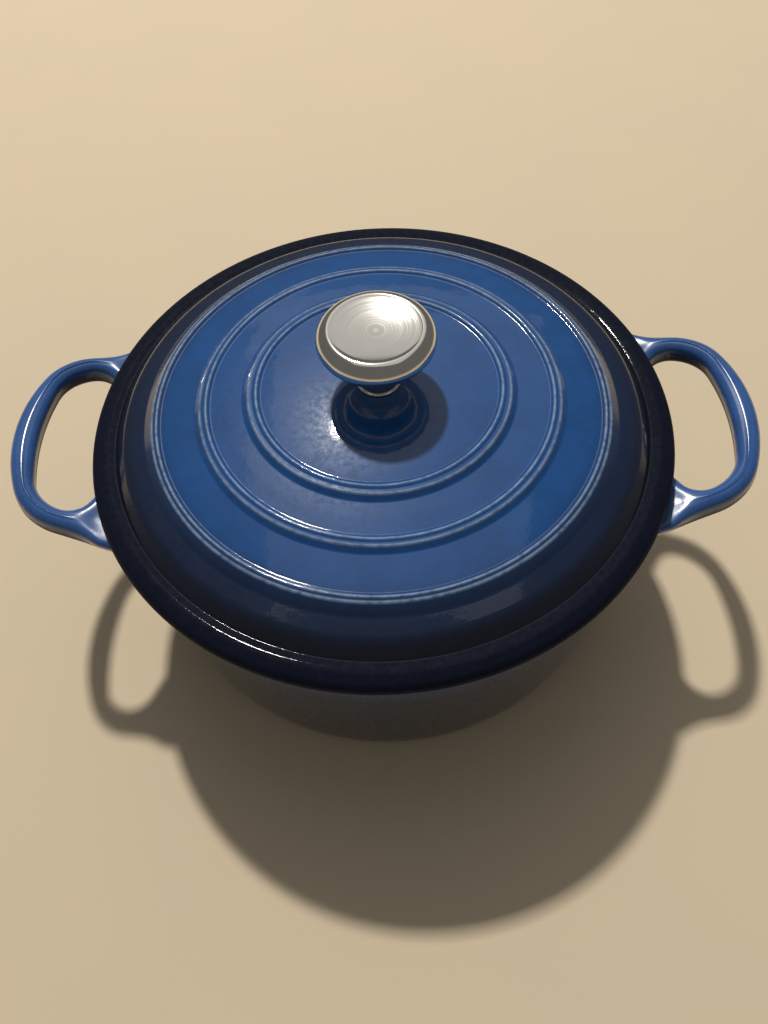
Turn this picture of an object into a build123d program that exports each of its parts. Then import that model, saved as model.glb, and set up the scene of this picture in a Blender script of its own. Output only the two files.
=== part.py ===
from build123d import *
import os
from math import asin, atan2, cos, degrees, radians, sin, sqrt, tan

# Round enamelled cast iron dutch oven with a stepped lid and a stainless steel knob.
# Millimetres, +Z up, origin at the centre of the base on the floor, loop handles along +X and -X.

# ---- pot: driving dimensions ----
rim_height = 108.2          # top of the pot's rim above the floor
rim_radius = 133.4          # outside of the rim
rim_width = 5.2             # flat top of the rim, across
rim_round = 1.2             # rounding of the rim's top edges
rim_lip = 1.5               # short upright part of the mouth under the rim
rim_band_depth = 9.0        # height of the slightly thicker band below the rim
band_slope = 3.0            # height over which the wall swells into that band
band_round = 2.0
wall_top_radius = 131.2     # outside of the wall just under the rim band
wall_foot_radius = 127.0    # outside of the wall where it turns into the base
wall_thickness = 3.5
wall_round = 30.0           # very soft bend between wall and base corner
mouth_round = 12.0
lip_round = 0.5
floor_thickness = 4.0
base_corner_radius = 16.0
base_edge_inset = 1.0       # how far in the base's corner point lies from the wall's foot
base_edge_height = 0.6
base_round = 10.0
foot_outer_radius = 112.0   # flat ring that the pot stands on
foot_width = 10.0
foot_recess = 0.7           # how far the middle of the base is raised off the floor
foot_inner_round = 0.3
foot_outer_round = 4.0
enamel = 0.5                # thickness of the pale inside enamel
enamel_stop = 2.0           # the pale enamel ends this far under the rim
cut_over = 5.0              # how far a cutting shape runs past what it cuts

# ---- lid: driving dimensions ----
seat_gap = 0.3              # between the pot's rim and the lid's seat
edge_height = 111.5         # top of the upright part of the lid's edge, above the floor
edge_radius = 136.5         # the lid's widest radius
edge_round = 1.6            # rounding of the lid's bottom edge
edge_blend_round = 3.0
groove_radius = 124.8       # groove between the flange and the dome
groove_height = 114.3
groove_round = 0.8
flange_crown_radius = 129.3
flange_crown_height = 115.6
flange_round = 7.0
flange_edge_radius = 134.6  # where the flange turns down to the lid's edge
flange_edge_height = 113.8
flange_edge_round = 4.0
shoulder_radius = 118.6     # where the dome turns down to the groove
shoulder_height = 120.0
shoulder_round = 7.0
step_foot_radius = 109.6    # foot of the outermost step
step_foot_height = 121.7
step_foot_round = 2.5
crown_height = 136.0        # flat seat of the knob, at the middle of the lid
crown_radius = 12.5
crown_round = 8.0
plateau_middle_radius = 33.0
plateau_middle_height = 135.24
plateau_round = 420.0       # gentle doming of the middle of the lid
dome_rise_radius = 470.0    # radius of the sphere that the rib tops lie on
rib_apex_height = 137.7     # top of that sphere
rib_inner_radii = (55.8, 79.2, 102.7)
rib_widths = (3.8, 3.0, 2.2)
rib_outer_drop = 0.35       # the outer edge of a rib lies this much under the sphere
rib_rise = 1.1              # from the terrace inside a rib up to the rib
rib_rise_run = 1.8
rib_step = 2.3              # from a rib down to the terrace outside it
rib_step_run = 2.8
rib_foot_round = 1.2
rib_inner_round = 0.7
rib_outer_round = 0.8
terrace_round = 1.5
lid_thickness = 4.0
inner_thickening = 1.2      # extra metal under the innermost rib
outer_thickening = 1.6      # extra metal under the outermost rib
dome_under_round = 60.0
ring_outer_radius = 127.0   # locating ring that drops inside the pot's mouth
ring_inner_radius = 122.6
ring_bottom = 104.4
ring_draft = 0.4            # the ring's outside narrows this much towards its bottom
ring_shoulder_run = 6.0     # across, from the ring's inside to the dome's underside
ring_shoulder_drop = 0.5    # the dome's underside there lies this far under the groove
ring_shoulder_lift = 1.0    # top of the ring's inside above the seat
ring_shoulder_round = 12.0
ring_inner_round = 2.0
seat_outer_radius = 134.4
seat_lip = 3.0              # across the lid's bottom edge, outside the seat
boss_radius = 11.0          # flat landing for the washer under the lid
lid_hole_radius = 3.5

# ---- handles: driving dimensions ----
handle_tilt = 13.5          # degrees that a handle rises outwards
handle_root_x = 137.0       # where the handle's top face is handle_root_height above the floor
handle_root_height = 103.0
handle_depth = 13.0         # thickness of the handle, top face to bottom face
handle_band = 9.6           # width of the loop at its corners and arms
handle_reach = 177.9        # outermost point, in the handle's own plane
hole_reach = 166.1          # outermost point of the finger opening
bow_radius = 86.8           # outer curve of the grip
corner_radius = 30.5        # outer corners of the loop
corner_offset = 22.0        # distance of a corner's centre from the handle's middle
arm_spread = 14.0           # degrees that each arm spreads towards the pot
web_radius = 10.5           # inner corners of the loop, next to the pot
web_start = 72.0            # degrees round the opening's corner where the web begins
web_turn = 78.0             # degrees that the web's edge turns before it runs into the wall
throat_run = 30.0           # the opening runs on this far into the pot's wall
handle_round = 4.6          # rounding of the handle's long edges
root_x = 112.0              # the arms run this far in before the pot's wall cuts them

# ---- knob and its fastening: driving dimensions ----
knob_radius = 25.7
knob_widest_height = 162.4
knob_shoulder_radius = 21.2  # where the side runs into the rim round the dished top
knob_shoulder_height = 168.0
knob_rim_radius = 20.0      # highest circle of the knob
knob_rim_height = 168.15
dish_radius = 19.2
dish_edge_height = 167.95
dish_height = 166.4         # middle of the dished top
cap_lip_radius = 22.4
cap_lip_height = 156.6
shell_wall = 1.3            # wall of the knob's cap and neck
lip_inset_share = 0.3       # how the wall's thickness is shared out where the shell leans
edge_inset_share = 0.5
flare_inset_share = 0.6
flare_lift_share = 0.5
neck_foot_radius = 10.2
neck_foot_thickness = 0.8
neck_foot_fillet = 0.4
neck_foot_round = 0.3
neck_radius = 9.4
neck_straight_height = 9.8  # straight part of the neck above its foot
neck_round = 4.0
flare_run = 4.4             # bend of the flare: this far out and up from the straight part
flare_rise = 6.2
flare_round = 8.0
insert_length = 13.4
insert_recess = 0.6         # gap between the insert and the lid
insert_bore_radius = 3.05
screw_radius = 3.0
screw_length = 16.0         # under the head
screw_head_radius = 6.2
screw_head_height = 3.2
screw_head_round = 1.6
screw_chamfer = 0.8
recess_width = 1.2
recess_span = 6.4
recess_depth = 1.8
washer_radius = 8.5
washer_hole_radius = 3.3
washer_thickness = 1.2

# ---- derived sizes ----
seat_height = rim_height + seat_gap
boss_height = crown_height - lid_thickness
washer_bottom = boss_height - washer_thickness
tilt_x = cos(radians(handle_tilt))
tilt_z = sin(radians(handle_tilt))


def turn(outline):
    """Solid of revolution about Z, from a closed outline of (radius, height) edges."""
    face = make_face(Plane.XZ * outline)
    return revolve(face, Axis.Z, 360)


def ring(inner, outer, bottom, top):
    """Plain ring between two radii and two heights."""
    middle = (bottom + top) / 2
    height = top - bottom
    return Pos(0, 0, middle) * (Cylinder(outer, height) - Cylinder(inner, height))


def rib_top(radius):
    """Height of the sphere that carries the tops of the lid's ribs."""
    return rib_apex_height - radius ** 2 / (2 * dome_rise_radius)


def pot_outer_line():
    """Outside of the pot, from the middle of the base up to the rim's outer top edge."""
    recess_radius = foot_outer_radius - foot_width
    band_bottom = rim_height - rim_band_depth
    points = [
        (0, foot_recess),
        (recess_radius - foot_recess, foot_recess),
        (recess_radius, 0),
        (foot_outer_radius, 0),
        (wall_foot_radius - base_edge_inset, base_edge_height),
        (wall_foot_radius, base_corner_radius),
        (wall_top_radius, band_bottom),
        (rim_radius, band_bottom + band_slope),
        (rim_radius, rim_height),
    ]
    radii = [foot_inner_round, foot_inner_round, foot_outer_round, base_round, wall_round,
             band_round, band_round]
    return FilletPolyline(*points, radius=radii)


def pot_inner_line(layer):
    """Inside of the pot, from the middle of the floor to the rim, moved in by layer."""
    floor = floor_thickness + layer
    foot_radius = wall_foot_radius - wall_thickness - layer
    mouth_radius = rim_radius - rim_width - layer
    top_radius = wall_top_radius - wall_thickness - layer
    points = [
        (0, floor),
        (foot_radius, floor),
        (top_radius, rim_height - rim_band_depth),
        (mouth_radius, rim_height - rim_lip),
        (mouth_radius, rim_height),
    ]
    return FilletPolyline(*points, radius=[base_corner_radius, mouth_round, lip_round])


def pot_blank():
    """The pot's outer shape with no hollow, which also trims the handles."""
    outer = pot_outer_line()
    closing = Polyline((rim_radius, rim_height), (0, rim_height), (0, foot_recess))
    return turn(outer + closing)


def pot_hollow(layer):
    """The space inside the pot, up past the rim."""
    inner = pot_inner_line(layer)
    mouth_radius = rim_radius - rim_width - layer
    top = rim_height + cut_over
    closing = Polyline((mouth_radius, rim_height), (mouth_radius, top), (0, top),
                       (0, floor_thickness + layer))
    return turn(inner + closing)


def make_pot_body():
    body = pot_blank() - pot_hollow(0)
    rim_edges = body.edges().filter_by(GeomType.CIRCLE).group_by(Axis.Z)[-1]
    return fillet(rim_edges, rim_round)


def make_pot_interior_enamel():
    """Pale enamel on the floor and wall, ending just under the rim's rounded inner edge."""
    lining = pot_hollow(0) - pot_hollow(enamel)
    top = rim_height - enamel_stop
    return lining & Pos(0, 0, top / 2) * Cylinder(rim_radius, top)


def loop_centres():
    """Centre of the grip's curve, centre of an outer corner, and the angle where they meet."""
    bow_centre = handle_reach - bow_radius
    reach = bow_radius - corner_radius
    corner_x = bow_centre + sqrt(reach ** 2 - corner_offset ** 2)
    return bow_centre, corner_x, degrees(asin(corner_offset / reach))


def on_arc(centre_x, centre_y, radius, angle):
    """Point on a circle, at an angle in degrees from +X."""
    return centre_x + radius * cos(radians(angle)), centre_y + radius * sin(radians(angle))


def handle_outer_face():
    """Outside of the loop as seen from above, filled."""
    bow_centre, corner_x, join_angle = loop_centres()
    arm_angle = 90 - arm_spread
    join_x, join_y = on_arc(bow_centre, 0, bow_radius, join_angle)
    middle_x, middle_y = on_arc(corner_x, corner_offset, corner_radius,
                                (arm_angle + join_angle) / 2)
    arm_x, arm_y = on_arc(corner_x, corner_offset, corner_radius, arm_angle)
    root_y = arm_y + (arm_x - root_x) * tan(radians(arm_spread))
    bow = ThreePointArc((join_x, -join_y), (handle_reach, 0), (join_x, join_y))
    upper = ThreePointArc((join_x, join_y), (middle_x, middle_y), (arm_x, arm_y))
    lower = ThreePointArc((join_x, -join_y), (middle_x, -middle_y), (arm_x, -arm_y))
    root = Polyline((arm_x, arm_y), (root_x, root_y), (root_x, -root_y), (arm_x, -arm_y))
    return make_face(bow + upper + lower + root)


def handle_hole_face():
    """Finger opening as seen from above, run on into the pot's wall."""
    corner_x = loop_centres()[1]
    hole_corner = corner_radius - handle_band
    inner_reach = hole_reach - hole_corner
    bow_centre = ((corner_x ** 2 + corner_offset ** 2 - inner_reach ** 2)
                  / (2 * (corner_x - inner_reach)))
    join_angle = degrees(atan2(corner_offset, corner_x - bow_centre))
    join_x, join_y = on_arc(bow_centre, 0, hole_reach - bow_centre, join_angle)
    middle_x, middle_y = on_arc(corner_x, corner_offset, hole_corner,
                                (web_start + join_angle) / 2)
    start_x, start_y = on_arc(corner_x, corner_offset, hole_corner, web_start)
    web_x, web_y = on_arc(corner_x, corner_offset, hole_corner - web_radius, web_start)
    web_mid_x, web_mid_y = on_arc(web_x, web_y, web_radius, web_start + web_turn / 2)
    web_end_x, web_end_y = on_arc(web_x, web_y, web_radius, web_start + web_turn)
    throat_x, throat_y = on_arc(web_end_x, web_end_y, throat_run, web_start + web_turn + 90)
    outline = ThreePointArc((join_x, -join_y), (hole_reach, 0), (join_x, join_y))
    for side in (1, -1):
        outline += ThreePointArc((join_x, side * join_y), (middle_x, side * middle_y),
                                 (start_x, side * start_y))
        outline += ThreePointArc((start_x, side * start_y), (web_mid_x, side * web_mid_y),
                                 (web_end_x, side * web_end_y))
    outline += Polyline((web_end_x, web_end_y), (throat_x, throat_y), (throat_x, -throat_y),
                        (web_end_x, -web_end_y))
    return make_face(outline)


def make_right_handle(blank):
    """Loop handle, tilted up outwards and cut to meet the pot's wall face to face."""
    top_plane = Plane(origin=(handle_root_x, 0, handle_root_height), x_dir=(tilt_x, 0, tilt_z),
                      z_dir=(-tilt_z, 0, tilt_x))
    flat = handle_outer_face() - handle_hole_face()
    slab = extrude(flat, -handle_depth)
    long_edges = slab.edges().filter_by(GeomType.LINE, reverse=True)
    slab = fillet(long_edges, handle_round)
    placed = top_plane * Pos(-handle_root_x, 0, 0) * slab
    return placed - blank


def lid_top_points():
    """Top of the lid, from the middle outwards, as (radius, height, corner rounding)."""
    points = [(crown_radius, crown_height, crown_round),
              (plateau_middle_radius, plateau_middle_height, plateau_round)]
    for inner_radius, width in zip(rib_inner_radii, rib_widths):
        outer_radius = inner_radius + width
        inner_top = rib_top(inner_radius)
        outer_top = rib_top(outer_radius) - rib_outer_drop
        points.append((inner_radius - rib_rise_run, inner_top - rib_rise, rib_foot_round))
        points.append((inner_radius, inner_top, rib_inner_round))
        points.append((outer_radius, outer_top, rib_outer_round))
        if inner_radius != rib_inner_radii[-1]:
            points.append((outer_radius + rib_step_run, outer_top - rib_step, terrace_round))
    points.append((step_foot_radius, step_foot_height, step_foot_round))
    points.append((shoulder_radius, shoulder_height, shoulder_round))
    points.append((groove_radius, groove_height, groove_round))
    points.append((flange_crown_radius, flange_crown_height, flange_round))
    return points


def lid_under_line(layer):
    """Inside of the lid's dome, from the washer's landing out to the locating ring."""
    inner_rib = rib_inner_radii[0]
    outer_rib = rib_inner_radii[-1]
    ring_radius = ring_inner_radius - layer
    points = [
        (boss_radius, boss_height - layer),
        (inner_rib, rib_top(inner_rib) - lid_thickness - inner_thickening - layer),
        (outer_rib, rib_top(outer_rib) - lid_thickness - outer_thickening - layer),
        (ring_radius - ring_shoulder_run, groove_height - ring_shoulder_drop - layer),
        (ring_radius, seat_height + ring_shoulder_lift - layer),
        (ring_radius, ring_bottom),
    ]
    radii = [dome_under_round, dome_under_round, ring_shoulder_round, ring_inner_round]
    return FilletPolyline(*points, radius=radii)


def make_lid_casting():
    top = lid_top_points()
    start = (lid_hole_radius, crown_height)
    flange_edge = (flange_edge_radius, flange_edge_height)
    edge_top = (edge_radius, edge_height)
    edge_bottom = (edge_radius, seat_height)
    seat_edge = (seat_outer_radius - seat_lip, seat_height)
    crowns = [(radius, height) for radius, height, _ in top]
    radii = [rounding for _, _, rounding in top]
    radii += [flange_edge_round, edge_blend_round, edge_round]
    outer = FilletPolyline(start, *crowns, flange_edge, edge_top, edge_bottom, seat_edge,
                           radius=radii)
    seat = Polyline(seat_edge, (ring_outer_radius, seat_height),
                    (ring_outer_radius - ring_draft, ring_bottom),
                    (ring_inner_radius, ring_bottom))
    under = lid_under_line(0)
    bore = Polyline((boss_radius, boss_height), (lid_hole_radius, boss_height), start)
    return turn(outer + seat + under + bore)


def make_lid_underside_enamel():
    """Pale enamel under the lid's dome, between the washer's landing and the locating ring."""
    above = lid_under_line(0)
    below = lid_under_line(enamel)
    middle = Line((boss_radius, boss_height), (boss_radius, boss_height - enamel))
    end = Line((ring_inner_radius, ring_bottom), (ring_inner_radius - enamel, ring_bottom))
    return turn(above + below + middle + end)


def neck_points(inset):
    """Neck and flared underside of the knob; inset moves the line in by the wall."""
    straight_top = crown_height + neck_foot_thickness + neck_straight_height
    return [
        (neck_radius - inset, straight_top),
        (neck_radius + flare_run - inset * flare_inset_share,
         straight_top + flare_rise + inset * flare_lift_share),
        (cap_lip_radius - inset * lip_inset_share, cap_lip_height + inset),
    ]


def make_knob_neck():
    """Turned neck of the knob, with a thin foot on the lid and a flare that carries the cap."""
    outer = neck_points(0)
    inner = neck_points(shell_wall)
    foot_top = crown_height + neck_foot_thickness
    outside = FilletPolyline((neck_foot_radius, crown_height), (neck_foot_radius, foot_top),
                             (neck_radius, foot_top + neck_foot_fillet), *outer,
                             radius=[neck_foot_round, neck_foot_round, neck_round, flare_round])
    inside = FilletPolyline((neck_radius - shell_wall, crown_height), *inner,
                            radius=[neck_round, flare_round])
    foot = Line((neck_foot_radius, crown_height), (neck_radius - shell_wall, crown_height))
    lip = Line(outer[-1], inner[-1])
    return turn(outside + inside + foot + lip)


def dish_arc(edge, bottom):
    """Arc from the dish's edge to its middle, level at the middle."""
    sagitta = edge[1] - bottom
    dish_curve = (edge[0] ** 2 + sagitta ** 2) / (2 * sagitta)
    half_angle = asin(edge[0] / dish_curve) / 2
    middle = (dish_curve * sin(half_angle), bottom + dish_curve * (1 - cos(half_angle)))
    return ThreePointArc(edge, middle, (0, bottom))


def cap_outer_line():
    """Outside of the cap, from its lip round the side and the rim to the middle of the dish."""
    shoulder = (knob_shoulder_radius, knob_shoulder_height)
    dish_edge = (dish_radius, dish_edge_height)
    side = ThreePointArc((cap_lip_radius, cap_lip_height), (knob_radius, knob_widest_height),
                         shoulder)
    rim = ThreePointArc(shoulder, (knob_rim_radius, knob_rim_height), dish_edge)
    return side + rim + dish_arc(dish_edge, dish_height)


def cap_inner_line():
    """Inside of the cap, one wall in from its outside."""
    lip = (cap_lip_radius - shell_wall * lip_inset_share, cap_lip_height + shell_wall)
    shoulder = (knob_shoulder_radius - shell_wall * edge_inset_share,
                knob_shoulder_height - shell_wall)
    side = ThreePointArc(lip, (knob_radius - shell_wall, knob_widest_height), shoulder)
    return side + dish_arc(shoulder, dish_height - shell_wall)


def make_knob_cap():
    """Pressed stainless steel shell with a dished top."""
    lip = Line(neck_points(0)[-1], neck_points(shell_wall)[-1])
    middle = Line((0, dish_height - shell_wall), (0, dish_height))
    return turn(cap_outer_line() + cap_inner_line() + lip + middle)


def make_knob_insert():
    """Threaded boss fixed inside the neck."""
    bottom = crown_height + insert_recess
    return ring(insert_bore_radius, neck_radius - shell_wall, bottom, bottom + insert_length)


def make_screw_washer():
    return ring(washer_hole_radius, washer_radius, washer_bottom, boss_height)


def make_knob_screw():
    """Pan head screw, head down under the lid, with a cross recess."""
    shank = Pos(0, 0, washer_bottom + screw_length / 2) * Cylinder(screw_radius, screw_length)
    shank = chamfer(shank.edges().filter_by(GeomType.CIRCLE).group_by(Axis.Z)[-1], screw_chamfer)
    head_middle = washer_bottom - screw_head_height / 2
    head = Pos(0, 0, head_middle) * Cylinder(screw_head_radius, screw_head_height)
    head = fillet(head.edges().filter_by(GeomType.CIRCLE).group_by(Axis.Z)[0], screw_head_round)
    screw = shank + head
    recess_middle = washer_bottom - screw_head_height + recess_depth / 2
    for angle in (0, 90):
        slot = Box(recess_span, recess_width, recess_depth)
        screw -= Pos(0, 0, recess_middle) * Rot(0, 0, angle) * slot
    return screw


def main():
    os.makedirs("parts", exist_ok=True)
    blank = pot_blank()
    right_handle = make_right_handle(blank)
    nodes = {
        "pot_body": make_pot_body(),
        "pot_interior_enamel": make_pot_interior_enamel(),
        "right_handle": right_handle,
        "left_handle": Rot(0, 0, 180) * right_handle,
        "lid_casting": make_lid_casting(),
        "lid_underside_enamel": make_lid_underside_enamel(),
        "knob_cap": make_knob_cap(),
        "knob_neck": make_knob_neck(),
        "knob_insert": make_knob_insert(),
        "knob_screw": make_knob_screw(),
        "screw_washer": make_screw_washer(),
    }
    for name, shape in nodes.items():
        export_step(shape, f"parts/{name}.step")


main()
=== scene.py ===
from math import asin, atan2, ceil, cos, hypot, pi, radians, sin, sqrt, tan
import bmesh
import bpy
from bpy.props import (FloatProperty, FloatVectorProperty, IntProperty, PointerProperty)
from mathutils import Matrix, Vector


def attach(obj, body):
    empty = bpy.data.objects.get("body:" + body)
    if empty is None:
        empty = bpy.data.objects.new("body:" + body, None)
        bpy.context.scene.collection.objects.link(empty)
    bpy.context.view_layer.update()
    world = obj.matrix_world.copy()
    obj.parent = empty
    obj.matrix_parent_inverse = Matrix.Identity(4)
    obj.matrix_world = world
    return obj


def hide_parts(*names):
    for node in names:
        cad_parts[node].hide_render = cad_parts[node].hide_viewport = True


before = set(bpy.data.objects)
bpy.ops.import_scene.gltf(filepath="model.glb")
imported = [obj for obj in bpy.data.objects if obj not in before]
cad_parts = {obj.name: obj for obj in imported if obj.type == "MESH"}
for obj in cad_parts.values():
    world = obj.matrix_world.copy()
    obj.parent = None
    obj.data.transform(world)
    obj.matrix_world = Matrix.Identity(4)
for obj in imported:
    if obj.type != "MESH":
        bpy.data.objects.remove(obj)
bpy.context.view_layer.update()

bl_info = {
    "name": "Enamelled Dutch Oven",
    "version": (1, 0, 0),
    "blender": (4, 5, 0),
    "location": "View3D > Sidebar > Dutch Oven",
    "description": "Builds a round enamelled cast iron dutch oven with loop handles, lid and steel knob",
    "category": "Object",
}

MM = 0.001


# ---------------------------------------------------------------- sizes and colours

def length(label, millimetres, words):
    """A size property: shown in the scene's unit, given here in millimetres."""
    return FloatProperty(name=label, description=words, default=millimetres * MM, min=0.0,
                         unit="LENGTH", precision=5)


def angle(label, degrees, words):
    """An angle property, given here in degrees."""
    return FloatProperty(name=label, description=words, default=radians(degrees),
                         unit="ROTATION")


def colour(label, value, words):
    """A linear colour property."""
    return FloatVectorProperty(name=label, description=words, default=value, size=3,
                               subtype="COLOR", min=0.0, max=1.0)


class PotSizes(bpy.types.PropertyGroup):
    rim_height: length("Rim height", 108.2, "Top of the rim above the floor")
    rim_radius: length("Rim radius", 133.4, "Outside of the rim")
    rim_width: length("Rim width", 5.2, "Flat top of the rim, across")
    rim_round: length("Rim rounding", 1.2, "Rounding of the rim's top edges")
    band_depth: length("Band depth", 9.0, "Height of the thicker band under the rim")
    band_slope: length("Band slope", 3.0, "Height over which the wall swells into the band")
    wall_top: length("Wall radius, top", 131.2, "Outside of the wall under the rim band")
    wall_foot: length("Wall radius, foot", 127.0, "Outside of the wall above the base corner")
    wall: length("Wall thickness", 3.5, "Thickness of the wall")
    floor: length("Floor thickness", 4.0, "Thickness of the floor")
    corner: length("Base corner", 16.0, "Rounding between the wall and the base")
    foot_radius: length("Foot radius", 112.0, "Outside of the flat ring that the pot stands on")
    foot_width: length("Foot width", 10.0, "Width of that ring")
    foot_recess: length("Foot recess", 0.7, "How far the middle of the base is off the floor")
    enamel: length("Enamel", 0.5, "Thickness of the pale inside enamel")
    enamel_stop: length("Enamel stop", 2.0, "The pale enamel ends this far under the rim")
    segments: IntProperty(name="Segments", description="Faces round the pot", default=240)


class HandleSizes(bpy.types.PropertyGroup):
    tilt: angle("Tilt", 13.5, "Angle that a handle rises outwards")
    root_x: length("Root distance", 137.0, "Where the top face has the root height")
    root_height: length("Root height", 103.0, "Height of the top face at the root distance")
    depth: length("Depth", 13.0, "Thickness from the top face to the bottom face")
    band: length("Band", 9.6, "Width of the loop at its corners and arms")
    reach: length("Reach", 177.89, "Outermost point, in the handle's own plane")
    hole_reach: length("Opening reach", 166.1, "Outermost point of the finger opening")
    bow: length("Bow radius", 86.8, "Outer curve of the grip")
    corner: length("Corner radius", 30.5, "Outer corners of the loop")
    corner_offset: length("Corner offset", 22.0, "Corner centre from the handle's middle")
    spread: angle("Arm spread", 14.0, "Angle that each arm spreads towards the pot")
    web: length("Web radius", 10.5, "Inner corners of the loop, next to the pot")
    web_start: angle("Web start", 72.0, "Where on the opening's corner the web begins")
    web_turn: angle("Web turn", 78.0, "How far the web's edge turns before the wall")
    rounding: length("Edge rounding", 4.6, "Rounding of the loop's long edges")
    blend: length("Root blend", 3.0, "Fillet where the loop meets the wall")
    flare: length("Arm flare", 5.0, "How far the top of an arm widens outwards at the wall")
    flare_run: length("Arm flare run", 13.0, "Length over which it widens")
    crown: length("Crown", 0.25, "How far the grip's top is crowned")
    dish: length("Web dish", 0.6, "How far the widest part of the top face is dished")


class LidSizes(bpy.types.PropertyGroup):
    seat_gap: length("Seat gap", 0.3, "Between the pot's rim and the lid's seat")
    edge_radius: length("Edge radius", 136.495, "The lid's widest radius")
    edge_top: length("Edge top", 111.5, "Top of the upright part of the lid's edge")
    edge_round: length("Edge rounding", 1.6, "Rounding of the lid's bottom edge")
    flange_radius: length("Flange crown radius", 129.3, "Highest circle of the flange")
    flange_height: length("Flange crown height", 115.6, "Height of the flange's corner point")
    flange_round: length("Flange rounding", 7.0, "Rounding of the flange's crown")
    turn_radius: length("Turn-down radius", 134.6, "Where the flange turns down to the edge")
    turn_height: length("Turn-down height", 113.8, "Height of that circle")
    groove_radius: length("Groove radius", 124.8, "Groove between the flange and the dome")
    groove_height: length("Groove height", 114.3, "Height of the groove")
    shoulder_radius: length("Shoulder radius", 118.6, "Where the dome turns down")
    shoulder_height: length("Shoulder height", 120.0, "Height of the shoulder")
    step_radius: length("Step foot radius", 109.6, "Foot of the outermost step")
    step_height: length("Step foot height", 121.7, "Height of that foot")
    crown_height: length("Crown height", 136.0, "Flat seat of the knob")
    crown_radius: length("Crown radius", 12.5, "Radius of that seat")
    plateau_apex: length("Plateau apex", 136.4, "Top of the sphere of the lid's middle")
    dome_radius: length("Dome radius", 470.0, "Radius of the spheres of the dome")
    rib_apex: length("Rib apex", 137.7, "Top of the sphere that carries the ribs")
    rib_1: length("First rib", 55.8, "Inner edge of the first rib")
    rib_2: length("Second rib", 79.2, "Inner edge of the second rib")
    rib_3: length("Third rib", 102.7, "Inner edge of the third rib")
    rib_width_1: length("First rib width", 3.8, "Between the two crests of the first rib")
    rib_width_2: length("Second rib width", 3.0, "Between the two crests of the second rib")
    rib_width_3: length("Third rib width", 2.2, "Between the two crests of the third rib")
    rib_drop: length("Rib drop", 0.35, "How far a rib's outer crest lies under the sphere")
    rib_rise: length("Rib rise", 1.1, "From the terrace inside a rib up to its crest")
    rib_run: length("Rib run", 1.8, "Width of that rise")
    rib_valley: length("Rib valley", 0.3, "Depth of the valley between a rib's two crests")
    step_drop: length("Step drop", 2.3, "From a rib down to the terrace outside it")
    step_run: length("Step run", 2.8, "Width of that step")
    thickness: length("Lid thickness", 4.0, "Thickness of the dome")
    ring_outer: length("Ring outside", 127.0, "Outside of the locating ring")
    ring_inner: length("Ring inside", 122.6, "Inside of the locating ring")
    ring_bottom: length("Ring bottom", 104.4, "Bottom of the locating ring")
    seat_outer: length("Seat outside", 131.4, "Outer edge of the flat seat")
    boss_radius: length("Boss radius", 11.0, "Flat landing for the washer under the lid")
    hole_radius: length("Hole radius", 3.5, "Hole for the knob's screw")
    enamel: length("Enamel", 0.5, "Thickness of the pale enamel under the lid")
    segments: IntProperty(name="Segments", description="Faces round the lid", default=320)


class KnobSizes(bpy.types.PropertyGroup):
    widest_radius: length("Widest radius", 25.7, "Widest radius of the cap")
    widest_height: length("Widest height", 162.4, "Height of the widest circle")
    shoulder_radius: length("Shoulder radius", 21.2, "Where the side runs into the rim")
    shoulder_height: length("Shoulder height", 168.0, "Height of that circle")
    rim_radius: length("Rim radius", 20.0, "Highest circle of the cap")
    rim_height: length("Rim height", 168.15, "Height of that circle")
    dish_radius: length("Dish radius", 19.2, "Edge of the dished top")
    dish_edge: length("Dish edge height", 167.95, "Height of the dish's edge")
    dish_height: length("Dish height", 166.4, "Middle of the dished top")
    lip_radius: length("Lip radius", 22.4, "Radius of the cap's lower lip")
    lip_height: length("Lip height", 156.6, "Height of that lip")
    wall: length("Wall", 1.3, "Wall of the cap and neck")
    foot_radius: length("Neck foot radius", 10.2, "Thin foot of the neck, on the lid")
    foot_height: length("Neck foot height", 0.8, "Height of that foot")
    neck_radius: length("Neck radius", 9.4, "Straight part of the neck")
    neck_height: length("Neck height", 9.8, "Height of the straight part")
    flare_out: length("Flare run", 4.4, "Bend of the flare, outwards")
    flare_up: length("Flare rise", 6.2, "Bend of the flare, upwards")
    insert_length: length("Insert length", 13.4, "Length of the threaded boss in the neck")
    insert_recess: length("Insert recess", 0.6, "Gap between that boss and the lid")
    bore_radius: length("Bore radius", 3.05, "Bore of the boss")
    segments: IntProperty(name="Segments", description="Faces round the knob", default=160)


class ScrewSizes(bpy.types.PropertyGroup):
    core_radius: length("Core radius", 2.6, "Shank between the threads")
    thread_radius: length("Thread radius", 2.98, "Crests of the thread")
    pitch: length("Pitch", 1.0, "Rise of the thread for each turn")
    length: length("Shank length", 16.0, "Under the head")
    head_radius: length("Head radius", 6.2, "Radius of the pan head")
    head_height: length("Head height", 3.2, "Height of the pan head")
    head_round: length("Head rounding", 1.6, "Rounding of the pan head")
    recess_width: length("Recess width", 1.2, "Width of the cross recess")
    recess_span: length("Recess span", 6.4, "Span of the cross recess")
    recess_depth: length("Recess depth", 1.8, "Depth of the cross recess")
    washer_radius: length("Washer radius", 8.5, "Outside of the washer")
    washer_hole: length("Washer hole", 3.3, "Hole of the washer")
    washer_height: length("Washer thickness", 1.2, "Thickness of the washer")
    segments: IntProperty(name="Segments", description="Faces round the screw", default=64)


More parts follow.
